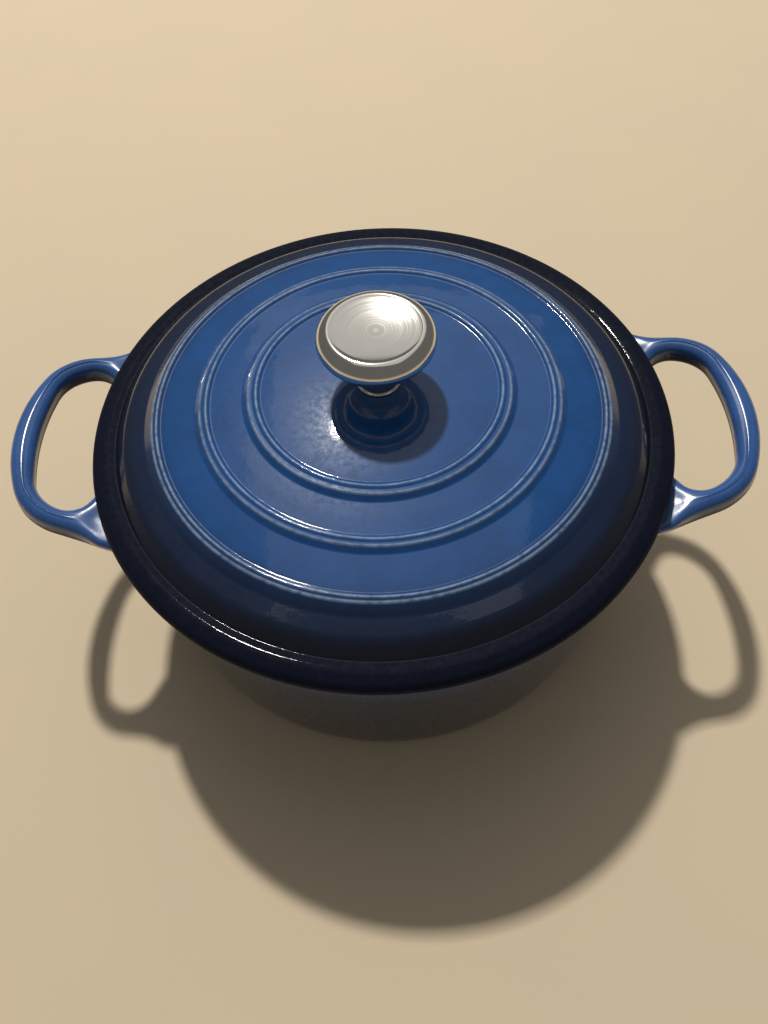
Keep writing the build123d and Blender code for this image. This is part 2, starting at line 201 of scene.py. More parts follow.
class Finishes(bpy.types.PropertyGroup):
    dome_blue: colour("Dome blue", (0.012, 0.091, 0.318), "Enamel on the middle of the lid")
    # Paler blue for the ribs' crests: thin enamel there, with a painted highlight along each crest.
    crest_blue_and_highlight: colour("Crest blue", (0.290, 0.400, 0.600), "Thin enamel on the ribs' crests")
    edge_navy: colour("Edge navy", (0.006, 0.018, 0.058), "Enamel towards the lid's edge")
    flange_black: colour("Flange black", (0.003, 0.006, 0.020), "Enamel on the flange")
    handle_blue: colour("Handle blue", (0.042, 0.130, 0.400), "Enamel on the handles")
    wall_blue: colour("Wall blue", (0.028, 0.085, 0.240), "Enamel near the pot's rim")
    wall_navy: colour("Wall navy", (0.008, 0.022, 0.075), "Enamel half way down the wall")
    base_black: colour("Base black", (0.004, 0.009, 0.030), "Enamel near the base")
    bare_rim: colour("Rim", (0.020, 0.022, 0.027), "Matt dark enamel on the rim and the seat")
    sand: colour("Sand", (0.640, 0.540, 0.380), "Pale enamel inside the pot and the lid")
    steel: colour("Steel", (0.780, 0.765, 0.720), "Stainless steel of the knob")
    zinc: colour("Zinc", (0.560, 0.570, 0.570), "Plated steel of the screw and washer")


class StudioSettings(bpy.types.PropertyGroup):
    camera_distance: length("Camera distance", 361.7, "From the middle of the lid's edge plane")
    camera_elevation: angle("Camera elevation", 50.535, "Above the horizon")
    camera_azimuth: angle("Camera azimuth", 1.833, "Round to the right of the front")
    camera_yaw: angle("Camera yaw", 0.186, "Turn of the camera about its own upright")
    camera_pitch: angle("Camera pitch", -7.428, "Turn of the camera about its own level line")
    camera_roll: angle("Camera roll", 3.397, "Turn of the camera about its line of sight")
    lens: FloatProperty(name="Lens", description="Focal length", default=26.434, unit="CAMERA")
    key_azimuth: angle("Key azimuth", 103.7, "Direction of the key lamp, from the right")
    key_elevation: angle("Key elevation", 56.7, "Height of the key lamp above the horizon")
    key_power: FloatProperty(name="Key power", description="Power of the key lamp",
                             default=116.0, unit="POWER")
    panel_power: FloatProperty(name="Panel power", description="Power of the back panel",
                               default=5.2, unit="POWER")
    surround: FloatProperty(name="Surround", description="Brightness of the room", default=0.135)
    paper: colour("Paper", (0.790, 0.660, 0.480), "Pale floor")


SETTINGS = {
    "oven_pot": PotSizes,
    "oven_handles": HandleSizes,
    "oven_lid": LidSizes,
    "oven_knob": KnobSizes,
    "oven_screw": ScrewSizes,
    "oven_finishes": Finishes,
    "oven_studio": StudioSettings,
}


# ---------------------------------------------------------------- outlines

ARC_STEP = radians(9)      # one straight for each of these in a rounded corner
LEAD = 0.22 * MM           # short straight that keeps a rounding's shading to itself


def round_corner(before, here, after, rounding):
    """Points of the arc that rounds a corner, with a short lead on each side."""
    towards_before = (before - here).normalized()
    towards_after = (after - here).normalized()
    turn = pi - towards_before.angle(towards_after)
    if turn < radians(0.2):
        return [here]
    room = 0.48 * min((before - here).length, (after - here).length)
    reach = min(rounding * tan(turn / 2), room)
    radius = reach / tan(turn / 2)
    middle = (towards_before + towards_after).normalized()
    centre = here + middle * radius / cos(turn / 2)
    start = here + towards_before * reach - centre
    end = here + towards_after * reach - centre
    sign = 1 if start.x * end.y - start.y * end.x > 0 else -1
    steps = max(3, ceil(turn / ARC_STEP))
    points = []
    if room - reach > LEAD:
        points.append(centre + start + towards_before * LEAD)
    for number in range(steps + 1):
        points.append(centre + Matrix.Rotation(sign * turn * number / steps, 2) @ start)
    if room - reach > LEAD:
        points.append(centre + end + towards_after * LEAD)
    return points


def outline(corners, closed=False):
    """Line of (radius, height) points through corners of (radius, height, rounding)."""
    line = []
    last = len(corners) - 1
    for number, (radius, height, rounding) in enumerate(corners):
        here = Vector((radius, height))
        if rounding == 0 or (not closed and number in (0, last)):
            line.append(here)
            continue
        before = Vector(corners[number - 1][:2])
        after = Vector(corners[(number + 1) % len(corners)][:2])
        line += round_corner(before, here, after, rounding)
    return line


def arc_through(start, middle, end, steps):
    """Points (radius, height, no rounding) on the circle through three points."""
    (ax, ay), (bx, by), (cx, cy) = start, middle, end
    scale = 2 * (ax * (by - cy) + bx * (cy - ay) + cx * (ay - by))
    a2, b2, c2 = ax * ax + ay * ay, bx * bx + by * by, cx * cx + cy * cy
    centre = Vector(((a2 * (by - cy) + b2 * (cy - ay) + c2 * (ay - by)) / scale,
                     (a2 * (cx - bx) + b2 * (ax - cx) + c2 * (bx - ax)) / scale))
    first = Vector(start) - centre
    sweep = first.angle_signed(Vector(middle) - centre) + \
        (Vector(middle) - centre).angle_signed(Vector(end) - centre)
    points = []
    for number in range(steps + 1):
        spoke = Matrix.Rotation(-sweep * number / steps, 2) @ first
        points.append((centre.x + spoke.x, centre.y + spoke.y, 0))
    return points


# ---------------------------------------------------------------- turned pieces

def add_socket(tree, label, kind, default=None, into="INPUT"):
    socket = tree.interface.new_socket(label, in_out=into, socket_type=kind)
    if default is not None:
        socket.default_value = default
    return socket


def finish_tree(tree, group_in, geometry):
    """Ends a tree in Realize Instances and Set Material."""
    group_out = tree.nodes.new("NodeGroupOutput")
    realize = tree.nodes.new("GeometryNodeRealizeInstances")
    smooth = tree.nodes.new("GeometryNodeSetShadeSmooth")
    paint = tree.nodes.new("GeometryNodeSetMaterial")
    tree.links.new(geometry, smooth.inputs["Geometry"])
    tree.links.new(smooth.outputs["Geometry"], realize.inputs["Geometry"])
    tree.links.new(realize.outputs["Geometry"], paint.inputs["Geometry"])
    tree.links.new(group_in.outputs["Finish"], paint.inputs["Material"])
    tree.links.new(paint.outputs["Geometry"], group_out.inputs["Geometry"])


def turning_tree():
    """Geometry Nodes tree that turns an outline of (radius, -height) about the Z axis."""
    if "Turned piece" in bpy.data.node_groups:
        return bpy.data.node_groups["Turned piece"]
    tree = bpy.data.node_groups.new("Turned piece", "GeometryNodeTree")
    add_socket(tree, "Geometry", "NodeSocketGeometry", into="OUTPUT")
    add_socket(tree, "Geometry", "NodeSocketGeometry")
    add_socket(tree, "Segments", "NodeSocketInt", 64)
    add_socket(tree, "Finish", "NodeSocketMaterial")
    group_in = tree.nodes.new("NodeGroupInput")
    spindle = tree.nodes.new("GeometryNodeCurvePrimitiveCircle")
    sweep = tree.nodes.new("GeometryNodeCurveToMesh")
    weld = tree.nodes.new("GeometryNodeMergeByDistance")
    spindle.inputs["Radius"].default_value = 0.001 * MM
    weld.inputs["Distance"].default_value = 0.008 * MM
    tree.links.new(group_in.outputs["Segments"], spindle.inputs["Resolution"])
    tree.links.new(spindle.outputs["Curve"], sweep.inputs["Curve"])
    tree.links.new(group_in.outputs["Geometry"], sweep.inputs["Profile Curve"])
    tree.links.new(sweep.outputs["Mesh"], weld.inputs["Geometry"])
    finish_tree(tree, group_in, weld.outputs["Geometry"])
    return tree


def thread_tree():
    """Geometry Nodes tree that winds a ridge round the screw's shank."""
    if "Screw thread" in bpy.data.node_groups:
        return bpy.data.node_groups["Screw thread"]
    tree = bpy.data.node_groups.new("Screw thread", "GeometryNodeTree")
    add_socket(tree, "Geometry", "NodeSocketGeometry", into="OUTPUT")
    add_socket(tree, "Geometry", "NodeSocketGeometry")
    add_socket(tree, "Turns", "NodeSocketFloat", 12.0)
    add_socket(tree, "Radius", "NodeSocketFloat", 2.6 * MM)
    add_socket(tree, "Ridge", "NodeSocketFloat", 0.35 * MM)
    add_socket(tree, "Length", "NodeSocketFloat", 12 * MM)
    add_socket(tree, "Start", "NodeSocketVector")
    add_socket(tree, "Finish", "NodeSocketMaterial")
    group_in = tree.nodes.new("NodeGroupInput")
    helix = tree.nodes.new("GeometryNodeCurveSpiral")
    ridge = tree.nodes.new("GeometryNodeCurvePrimitiveCircle")
    sweep = tree.nodes.new("GeometryNodeCurveToMesh")
    lift = tree.nodes.new("GeometryNodeTransform")
    helix.inputs["Resolution"].default_value = 28
    ridge.inputs["Resolution"].default_value = 4
    sweep.inputs["Fill Caps"].default_value = True
    tree.links.new(group_in.outputs["Turns"], helix.inputs["Rotations"])
    tree.links.new(group_in.outputs["Radius"], helix.inputs["Start Radius"])
    tree.links.new(group_in.outputs["Radius"], helix.inputs["End Radius"])
    tree.links.new(group_in.outputs["Length"], helix.inputs["Height"])
    tree.links.new(group_in.outputs["Ridge"], ridge.inputs["Radius"])
    tree.links.new(helix.outputs["Curve"], sweep.inputs["Curve"])
    tree.links.new(ridge.outputs["Curve"], sweep.inputs["Profile Curve"])
    tree.links.new(sweep.outputs["Mesh"], lift.inputs["Geometry"])
    tree.links.new(group_in.outputs["Start"], lift.inputs["Translation"])
    finish_tree(tree, group_in, lift.outputs["Geometry"])
    return tree


def grow(name, holder, tree, values):
    """Runs a tree on a holder object and returns the plain mesh; the holder is removed."""
    modifier = holder.modifiers.new(name, "NODES")
    modifier.node_group = tree
    for item in tree.interface.items_tree:
        if item.item_type == "SOCKET" and item.in_out == "INPUT" and item.name in values:
            modifier[item.identifier] = values[item.name]
    bpy.context.collection.objects.link(holder)
    graph = bpy.context.evaluated_depsgraph_get()
    mesh = bpy.data.meshes.new_from_object(holder.evaluated_get(graph))
    mesh.name = name
    bpy.data.objects.remove(holder)
    if not mesh.polygons:
        raise RuntimeError(f"{name} came out empty")
    return mesh


def turned_mesh(name, line, closed, segments, finish):
    """Mesh of an outline turned about Z."""
    curve = bpy.data.curves.new(name, "CURVE")
    curve.dimensions = "3D"
    spline = curve.splines.new("POLY")
    spline.points.add(len(line) - 1)
    for point, (radius, height) in zip(spline.points, line):
        point.co = (radius, -height, 0, 1)
    spline.use_cyclic_u = closed
    holder = bpy.data.objects.new(name + "_outline", curve)
    return grow(name, holder, turning_tree(), {"Segments": segments, "Finish": finish})


def new_piece(name, mesh):
    piece = bpy.data.objects.new(name, mesh)
    bpy.context.collection.objects.link(piece)
    return piece


def fit(piece, body, node):
    """Puts a piece on its body in place of the plain CAD node."""
    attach(piece, body)
    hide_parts(node)


# ---------------------------------------------------------------- materials

MOTTLE_SIZE = 2.6 * MM     # small darker patches in the glaze
MOTTLE_SHADE = 0.14        # how far the darkest of them go to black
CLOUD_SIZE = 17 * MM       # large darker patches in the glaze
CLOUD_SHADE = 0.12
GLOSS_LOW = 0.25           # roughness of the glossy glaze
GLOSS_HIGH = 0.42
MATT_GAIN = 0.52           # roughness that a fully matt place adds to that
BODY_SPECULAR = 0.12       # specular level of the glaze under its clear coat
COAT_IOR = 1.5
WAVE_SIZE = 9 * MM         # slow unevenness of the glaze
WAVE_DEPTH = 0.06 * MM
SKIN_SIZE = 1.5 * MM       # fine unevenness over it
SKIN_DEPTH = 0.012 * MM
CREST_WIDTH = 2.0 * MM     # width of the paler band on a rib's crest: thin enamel and a painted highlight
SEAT_FADE = (110.6 * MM, 109.6 * MM)   # heights between which the lid turns matt
FLANGE_FADE = 1 * MM       # either side of the groove, where the flange turns matt
FLANGE_MATT = 0.9
RIM_FADE = (1.3 * MM, 0.7 * MM)        # under the rim's top, where the pot turns matt
UNDER_FADE = (5 * MM, 9 * MM)          # depths between which a handle turns dull
UNDER_MATT = 0.7
HANDLE_COAT = 0.2          # coat roughness of the handles
TURNING_PITCH = 0.35 * MM  # between the turning lines of the steel


def start_material(name):
    """A node material with its shader, and where a point lies: vector, radius and height."""
    material = bpy.data.materials.new(name)
    material.use_nodes = True
    tree = material.node_tree
    shader = tree.nodes["Principled BSDF"]
    place = tree.nodes.new("ShaderNodeTexCoord").outputs["Object"]
    split = tree.nodes.new("ShaderNodeSeparateXYZ")
    tree.links.new(place, split.inputs[0])
    flat = tree.nodes.new("ShaderNodeVectorMath")
    flat.operation = "MULTIPLY"
    flat.inputs[1].default_value = (1, 1, 0)
    tree.links.new(place, flat.inputs[0])
    span = tree.nodes.new("ShaderNodeVectorMath")
    span.operation = "LENGTH"
    tree.links.new(flat.outputs[0], span.inputs[0])
    return material, tree, shader, place, span.outputs["Value"], split.outputs["Z"]


def noise(tree, place, size, detail=2.0, roughness=0.5):
    """Noise whose patches are about size metres across."""
    made = tree.nodes.new("ShaderNodeTexNoise")
    made.inputs["Scale"].default_value = 1 / size
    made.inputs["Detail"].default_value = detail
    made.inputs["Roughness"].default_value = roughness
    tree.links.new(place, made.inputs["Vector"])
    return made.outputs["Fac"]


def spread(tree, value, low, high, out_low, out_high, smooth=True):
    """Maps a value from one range to another."""
    made = tree.nodes.new("ShaderNodeMapRange")
    made.interpolation_type = "SMOOTHSTEP" if smooth else "LINEAR"
    made.inputs["From Min"].default_value = low
    made.inputs["From Max"].default_value = high
    made.inputs["To Min"].default_value = out_low
    made.inputs["To Max"].default_value = out_high
    tree.links.new(value, made.inputs["Value"])
    return made.outputs["Result"]


def blend_colour(tree, amount, first, second, how="MIX"):
    """Mixes two colours (tuples or sockets) by a socket or number."""
    made = tree.nodes.new("ShaderNodeMix")
    made.data_type = "RGBA"
    made.blend_type = how
    for socket, value in ((made.inputs[0], amount), (made.inputs[6], first),
                          (made.inputs[7], second)):
        if isinstance(value, bpy.types.NodeSocket):
            tree.links.new(value, socket)
        elif isinstance(value, float):
            socket.default_value = value
        else:
            socket.default_value = (*value, 1)
    return made.outputs[2]


def maths(tree, how, first, second):
    made = tree.nodes.new("ShaderNodeMath")
    made.operation = how
    for socket, value in zip(made.inputs, (first, second)):
        if isinstance(value, bpy.types.NodeSocket):
            tree.links.new(value, socket)
        else:
            socket.default_value = value
    return made.outputs[0]


def relief(tree, shader, height, depth, under=None):
    """Bump of a given depth in metres on the shader's normal; returns the bump node."""
    bump = tree.nodes.new("ShaderNodeBump")
    bump.inputs["Strength"].default_value = 1.0
    bump.inputs["Distance"].default_value = depth
    tree.links.new(height, bump.inputs["Height"])
    if under is not None:
        tree.links.new(under.outputs["Normal"], bump.inputs["Normal"])
    tree.links.new(bump.outputs["Normal"], shader.inputs["Normal"])
    return bump


def ramp(tree, value, stops):
    """Colour by a measured value: stops of (value in metres, colour)."""
    low, high = stops[0][0], stops[-1][0]
    made = tree.nodes.new("ShaderNodeValToRGB")
    made.color_ramp.interpolation = "EASE"
    while len(made.color_ramp.elements) < len(stops):
        made.color_ramp.elements.new(0.5)
    for element, (at, shade) in zip(made.color_ramp.elements, stops):
        element.position = (at - low) / (high - low)
        element.color = (*shade, 1)
    tree.links.new(spread(tree, value, low, high, 0.0, 1.0, smooth=False), made.inputs["Fac"])
    return made.outputs["Color"]


def glaze(tree, shader, place, base, matt=None, coat_roughness=0.05):
    """Glassy coloured enamel: mottled body, clear top coat and a slightly uneven surface."""
    mottle = noise(tree, place, MOTTLE_SIZE, detail=3.0, roughness=0.62)
    cloud = noise(tree, place, CLOUD_SIZE)
    black = (0.0, 0.0, 0.0)
    patches = spread(tree, mottle, 0.3, 0.7, 0.0, MOTTLE_SHADE)
    shade = blend_colour(tree, patches, base, black)
    patches = spread(tree, cloud, 0.35, 0.7, 0.0, CLOUD_SHADE)
    shade = blend_colour(tree, patches, shade, black)
    tree.links.new(shade, shader.inputs["Base Color"])
    rough = spread(tree, mottle, 0.25, 0.75, GLOSS_LOW, GLOSS_HIGH)
    if matt is not None:
        rough = maths(tree, "ADD", rough, maths(tree, "MULTIPLY", matt, MATT_GAIN))
    tree.links.new(rough, shader.inputs["Roughness"])
    shader.inputs["Specular IOR Level"].default_value = BODY_SPECULAR
    shader.inputs["Coat Roughness"].default_value = coat_roughness
    shader.inputs["Coat IOR"].default_value = COAT_IOR
    if matt is None:
        shader.inputs["Coat Weight"].default_value = 1.0
    else:
        tree.links.new(maths(tree, "SUBTRACT", 1.0, matt), shader.inputs["Coat Weight"])
    wave = relief(tree, shader, noise(tree, place, WAVE_SIZE, detail=1.0), WAVE_DEPTH)
    skin = relief(tree, shader, noise(tree, place, SKIN_SIZE, detail=1.0), SKIN_DEPTH, wave)
    tree.links.new(skin.outputs["Normal"], shader.inputs["Coat Normal"])


def crest_bands(tree, radius, circles, width):
    """1 on each circle of a given radius, falling to 0 at half a width on either side."""
    total = 0.0
    for circle in circles:
        gap = maths(tree, "ABSOLUTE", maths(tree, "SUBTRACT", radius, circle), 0.0)
        total = maths(tree, "MAXIMUM", spread(tree, gap, 0.0, width / 2, 1.0, 0.0), total)
    return total


def lid_enamel(finishes, lid):
    """Blue enamel that darkens towards the lid's edge, with paler rib crests that are thin enamel and
    painted highlight, matt on the flange and the seat.
    """
    material, tree, shader, place, radius, height = start_material("lid_blue_enamel")
    base = ramp(tree, radius, [
        (0.0, finishes.dome_blue),
        (lid.rib_3 - 8 * MM, finishes.dome_blue),
        (lid.step_radius + 3 * MM, finishes.edge_navy),
        (lid.groove_radius, finishes.flange_black),
        (lid.edge_radius, finishes.flange_black),
    ])
    # Paler blue on the ribs' crests: thin enamel, and a painted highlight that strengthens the lines of
    # light along them, patchy by noise.
    crests = crest_bands(tree, radius, (
        lid.rib_1, lid.rib_1 + lid.rib_width_1, lid.rib_2, lid.rib_2 + lid.rib_width_2,
        lid.rib_3, lid.rib_3 + lid.rib_width_3), CREST_WIDTH)
    crest_patches = spread(tree, noise(tree, place, 3 * MM, detail=3.0), 0.25, 0.6, 0.35, 0.9)
    base = blend_colour(tree, maths(tree, "MULTIPLY", crests, crest_patches), base, finishes.crest_blue_and_highlight)
    seat = spread(tree, height, *SEAT_FADE, 0.0, 1.0)
    base = blend_colour(tree, seat, base, finishes.bare_rim)
    flange = spread(tree, radius, lid.groove_radius - FLANGE_FADE,
                    lid.groove_radius + FLANGE_FADE, 0.0, FLANGE_MATT)
    glaze(tree, shader, place, base, maths(tree, "MAXIMUM", seat, flange))
    return material


def pot_enamel(finishes, pot):
    """Blue enamel that darkens down the wall, matt and dark on the rim."""
    material, tree, shader, place, _, height = start_material("pot_blue_enamel")
    base = ramp(tree, height, [
        (0.0, finishes.base_black),
        (40 * MM, finishes.base_black),
        (75 * MM, finishes.wall_navy),
        (pot.rim_height - pot.band_depth, finishes.wall_blue),
        (pot.rim_height, finishes.wall_blue),
    ])
    rim = spread(tree, height, *(pot.rim_height - under for under in RIM_FADE), 0.0, 1.0)
    base = blend_colour(tree, rim, base, finishes.bare_rim)
    glaze(tree, shader, place, base, rim)
    return material


def handle_enamel(finishes, handle):
    """Lighter blue enamel of the handles, darker with depth under the top face: a darker glaze tone with
    painted shade on the undersides and the inside of the opening.
    """
    material, tree, shader, place, _, height = start_material("handle_blue_enamel")
    split = tree.nodes.new("ShaderNodeSeparateXYZ")
    tree.links.new(place, split.inputs[0])
    across = maths(tree, "ABSOLUTE", split.outputs["X"], 0.0)
    rise = maths(tree, "MULTIPLY", maths(tree, "SUBTRACT", height, handle.root_height),
                 cos(handle.tilt))
    slope = maths(tree, "MULTIPLY", maths(tree, "SUBTRACT", across, handle.root_x),
                  sin(handle.tilt))
    depth = maths(tree, "SUBTRACT", slope, rise)
    # Darker with depth under the top face: the glaze's darker tone there and painted shade under the
    # handle and inside its opening.
    base = ramp(tree, depth, [
        (0.0, finishes.handle_blue),
        (3.2 * MM, finishes.handle_blue),
        (5.5 * MM, finishes.wall_navy),
        (9 * MM, finishes.base_black),
        (handle.depth, finishes.base_black),
    ])
    dull = spread(tree, depth, *UNDER_FADE, 0.0, UNDER_MATT)
    glaze(tree, shader, place, base, dull, coat_roughness=HANDLE_COAT)
    return material


def sand_enamel(finishes):
    """Glossy pale enamel with faint specks."""
    material, tree, shader, place, *_ = start_material("sand_enamel")
    cloud = noise(tree, place, 30 * MM)
    speck = noise(tree, place, 0.9 * MM, detail=1.0)
    base = blend_colour(tree, spread(tree, cloud, 0.3, 0.7, 0.0, 0.16), finishes.sand,
                        (0.50, 0.40, 0.27))
    base = blend_colour(tree, spread(tree, speck, 0.70, 0.78, 0.0, 0.55), base,
                        (0.16, 0.11, 0.07))
    tree.links.new(base, shader.inputs["Base Color"])
    tree.links.new(spread(tree, cloud, 0.3, 0.7, 0.16, 0.26), shader.inputs["Roughness"])
    shader.inputs["Coat Weight"].default_value = 0.6
    shader.inputs["Coat Roughness"].default_value = 0.08
    relief(tree, shader, noise(tree, place, 7 * MM, detail=1.0), 0.04 * MM)
    return material


def turned_steel(name, base, low, high, groove):
    """Steel with fine turning lines; roughness runs from low to high over the lines."""
    material, tree, shader, place, radius, height = start_material(name)
    lines = tree.nodes.new("ShaderNodeTexNoise")
    lines.noise_dimensions = "2D"
    lines.inputs["Scale"].default_value = 1 / TURNING_PITCH
    lines.inputs["Detail"].default_value = 3.0
    both = tree.nodes.new("ShaderNodeCombineXYZ")
    tree.links.new(radius, both.inputs["X"])
    tree.links.new(height, both.inputs["Y"])
    tree.links.new(both.outputs[0], lines.inputs["Vector"])
    stain = noise(tree, place, 11 * MM, detail=3.0)
    tint = blend_colour(tree, spread(tree, stain, 0.35, 0.7, 0.0, 0.2), base,
                        tuple(0.82 * part for part in base))
    tree.links.new(tint, shader.inputs["Base Color"])
    shader.inputs["Metallic"].default_value = 1.0
    tree.links.new(spread(tree, lines.outputs["Fac"], 0.3, 0.7, low, high),
                   shader.inputs["Roughness"])
    relief(tree, shader, lines.outputs["Fac"], groove)
    return material


# ---------------------------------------------------------------- pot

UPPER_BEND = 12 * MM       # bend of the inside wall under the rim band


def pot_line(pot):
    """Pot from the middle of its floor, up inside, over the rim and down to the base."""
    mouth = pot.rim_radius - pot.rim_width
    band = pot.rim_height - pot.band_depth
    recess = pot.foot_radius - pot.foot_width
    return outline([
        (0, pot.floor, 0),
        (pot.wall_foot - pot.wall, pot.floor, pot.corner),
        (pot.wall_top - pot.wall, band, UPPER_BEND),
        (mouth, pot.rim_height - 1.5 * MM, 0.5 * MM),
        (mouth, pot.rim_height, pot.rim_round),
        (pot.rim_radius, pot.rim_height, pot.rim_round),
        (pot.rim_radius, band + pot.band_slope, 2 * MM),
        (pot.wall_top, band, 2 * MM),
        (pot.wall_foot, pot.corner, 30 * MM),
        (pot.wall_foot - 1 * MM, 0.6 * MM, 10 * MM),
        (pot.foot_radius, 0, 4 * MM),
        (recess, 0, 0.3 * MM),
        (recess - pot.foot_recess, pot.foot_recess, 0.3 * MM),
        (0, pot.foot_recess, 0),
    ])


def pot_lining_line(pot):
    """Pale enamel: its inner face, then back down its outer face."""
    top = pot.rim_height - pot.enamel_stop
    wall_top = pot.wall_top - pot.wall
    wall_foot = pot.wall_foot - pot.wall
    band = pot.rim_height - pot.band_depth
    top_radius = pot.rim_radius - pot.rim_width
    layer = pot.enamel
    return outline([
        (0, pot.floor + layer, 0),
        (wall_foot - layer, pot.floor + layer, pot.corner),
        (wall_top - layer, band, UPPER_BEND),
        (top_radius - layer, top, 0.2 * MM),
        (top_radius, top, 0.1 * MM),
        (wall_top, band, UPPER_BEND),
        (wall_foot, pot.floor, pot.corner),
        (0, pot.floor, 0),
    ])


class OVEN_OT_pot(bpy.types.Operator):
    """Turned pot shell and its pale lining"""
    bl_idname = "oven.pot"
    bl_label = "Pot"

    def execute(self, context):
        pot = context.scene.oven_pot
        finishes = context.scene.oven_finishes
        blue = pot_enamel(finishes, pot)
        shell = new_piece("pot_shell", turned_mesh("pot_shell", pot_line(pot), False,
                                                   pot.segments, blue))
        fit(shell, "pot", "pot_body")
        sand = sand_enamel(finishes)
        lining = new_piece("pot_lining", turned_mesh("pot_lining", pot_lining_line(pot), False,
                                                     pot.segments, sand))
        fit(lining, "pot", "pot_interior_enamel")
        return {"FINISHED"}


# ---------------------------------------------------------------- handles

BOW_STEPS = 12
CORNER_STEPS = 16
ARM_STEPS = 16
TAIL_STEPS = 6
EDGE_STEPS = 7
FACE_STEPS = 6
BLEND_PARTS = (0.85, 0.7, 0.55, 0.4, 0.28, 0.18, 0.1, 0.04, 0.0)
SINK = 1.6 * MM            # how far the loop runs on inside the wall
ARM_RUN = 36 * MM          # an arm's length from its corner to well inside the wall
WEB_RUN = 24 * MM          # the web's straight run to well inside the wall
FLARE_END = 141 * MM       # distance of an arm's outer line from the middle at the wall
WEB_SHARE = 0.55           # share of the arm's stations that the web's arc takes
NARROW_FACE = 4 * MM       # a face up to this wide is crowned
WIDENING = 9 * MM          # and is fully dished when it is this much wider


def wall_radius(pot, height):
    """Outside of the pot's wall at a height."""
    band = pot.rim_height - pot.band_depth
    if height > band + pot.band_slope:
        return pot.rim_radius
    if height > band:
        part = (height - band) / pot.band_slope
        return pot.wall_top + (pot.rim_radius - pot.wall_top) * part
    part = (height - pot.corner) / (band - pot.corner)
    return pot.wall_foot + (pot.wall_top - pot.wall_foot) * part


def on_circle(centre, radius, turn):
    """Point on a circle and the direction from its centre."""
    spoke = Vector((cos(turn), sin(turn)))
    return centre + spoke * radius, spoke


def loop_stations(handle):
    """Half of the loop, grip first: outer point and direction, inner point and direction."""
    bow_centre = Vector((handle.reach - handle.bow, 0))
    reach = handle.bow - handle.corner
    join = asin(handle.corner_offset / reach)
    corner_centre = Vector((bow_centre.x + reach * cos(join), handle.corner_offset))
    arm_turn = pi / 2 - handle.spread
    hole_corner = handle.corner - handle.band
    inner_reach = handle.hole_reach - hole_corner
    hole_x = ((corner_centre.length_squared - inner_reach ** 2)
              / (2 * (corner_centre.x - inner_reach)))
    hole_centre = Vector((hole_x, 0))
    hole_join = atan2(handle.corner_offset, corner_centre.x - hole_x)
    web_centre = on_circle(corner_centre, hole_corner - handle.web, handle.web_start)[0]
    stations = []
    for number in range(BOW_STEPS):
        part = number / BOW_STEPS
        outer, out = on_circle(bow_centre, handle.bow, join * part)
        inner, inn = on_circle(hole_centre, handle.hole_reach - hole_x, hole_join * part)
        stations.append((outer, out, inner, -inn))
    for number in range(CORNER_STEPS + 1):
        part = number / CORNER_STEPS
        outer, out = on_circle(corner_centre, handle.corner, join + (arm_turn - join) * part)
        inner, inn = on_circle(corner_centre, hole_corner,
                               hole_join + (handle.web_start - hole_join) * part)
        stations.append((outer, out, inner, -inn))
    arm_start, arm_out = on_circle(corner_centre, handle.corner, arm_turn)
    arm_along = Vector((-sin(arm_turn), cos(arm_turn)))
    web_end, web_in = on_circle(web_centre, handle.web, handle.web_start + handle.web_turn)
    web_along = Vector((-web_in.y, web_in.x))
    for number in range(1, ARM_STEPS + 1):
        part = number / ARM_STEPS
        outer = arm_start + arm_along * ARM_RUN * part
        if part <= WEB_SHARE:
            turn = handle.web_start + handle.web_turn * part / WEB_SHARE
            inner, inn = on_circle(web_centre, handle.web, turn)
        else:
            inner = web_end + web_along * WEB_RUN * (part - WEB_SHARE) / (1 - WEB_SHARE)
            inn = web_in
        stations.append((outer, arm_out, inner, -inn))
    return stations


def edge_points(point, out, handle, downwards):
    """Side of the loop with both long edges rounded: (point, depth, direction)."""
    rounding = handle.rounding
    made = []
    for number in range(EDGE_STEPS + 1):
        turn = pi / 2 * number / EDGE_STEPS
        spot = point - out * rounding * (1 - sin(turn))
        made.append((spot, -rounding * (1 - cos(turn)), (out * sin(turn), cos(turn))))
    for number in range(EDGE_STEPS + 1):
        turn = pi / 2 * number / EDGE_STEPS
        spot = point - out * rounding * (1 - cos(turn))
        made.append((spot, -(handle.depth - rounding * (1 - sin(turn))),
                     (out * cos(turn), -sin(turn))))
    return made if downwards else made[::-1]


def face_points(start, end, depth, handle, up):
    """Points across the top or bottom face between two rounded edges."""
    made = []
    width = (end - start).length
    wide = min(1.0, max(0.0, width - NARROW_FACE) / WIDENING)
    for number in range(1, FACE_STEPS):
        part = number / FACE_STEPS
        crown = handle.crown * (1 - (2 * part - 1) ** 2) * (1 - wide)
        lift = (crown - handle.dish * wide * sin(pi * part) ** 2) * up
        made.append((start.lerp(end, part), depth + lift, (Vector((0, 0)), up)))
    return made


def loop_ring(station, handle):
    """One cross-section of the loop as a closed ring; an arm's top widens near the wall."""
    outer, out, inner, inn = station
    outside = []
    near = min(1.0, max(0.0, 1 - (outer.length - FLARE_END) / handle.flare_run))
    for spot, depth, away in edge_points(outer, out, handle, True):
        share = max(0.0, 1 + depth / handle.depth) ** 1.5
        outside.append((spot + out * handle.flare * near ** 2 * share, depth, away))
    inside = edge_points(inner, inn, handle, False)
    ring = outside
    ring += face_points(outside[-1][0], inside[0][0], -handle.depth, handle, -1)
    ring += inside
    ring += face_points(inside[-1][0], outside[0][0], 0.0, handle, 1)
    return ring


def tilt_up(handle, spot, depth):
    """From the handle's own plane to the object's frame."""
    along = spot.x - handle.root_x
    lean = handle.tilt
    return Vector((handle.root_x + along * cos(lean) - depth * sin(lean), spot.y,
                   handle.root_height + along * sin(lean) + depth * cos(lean)))


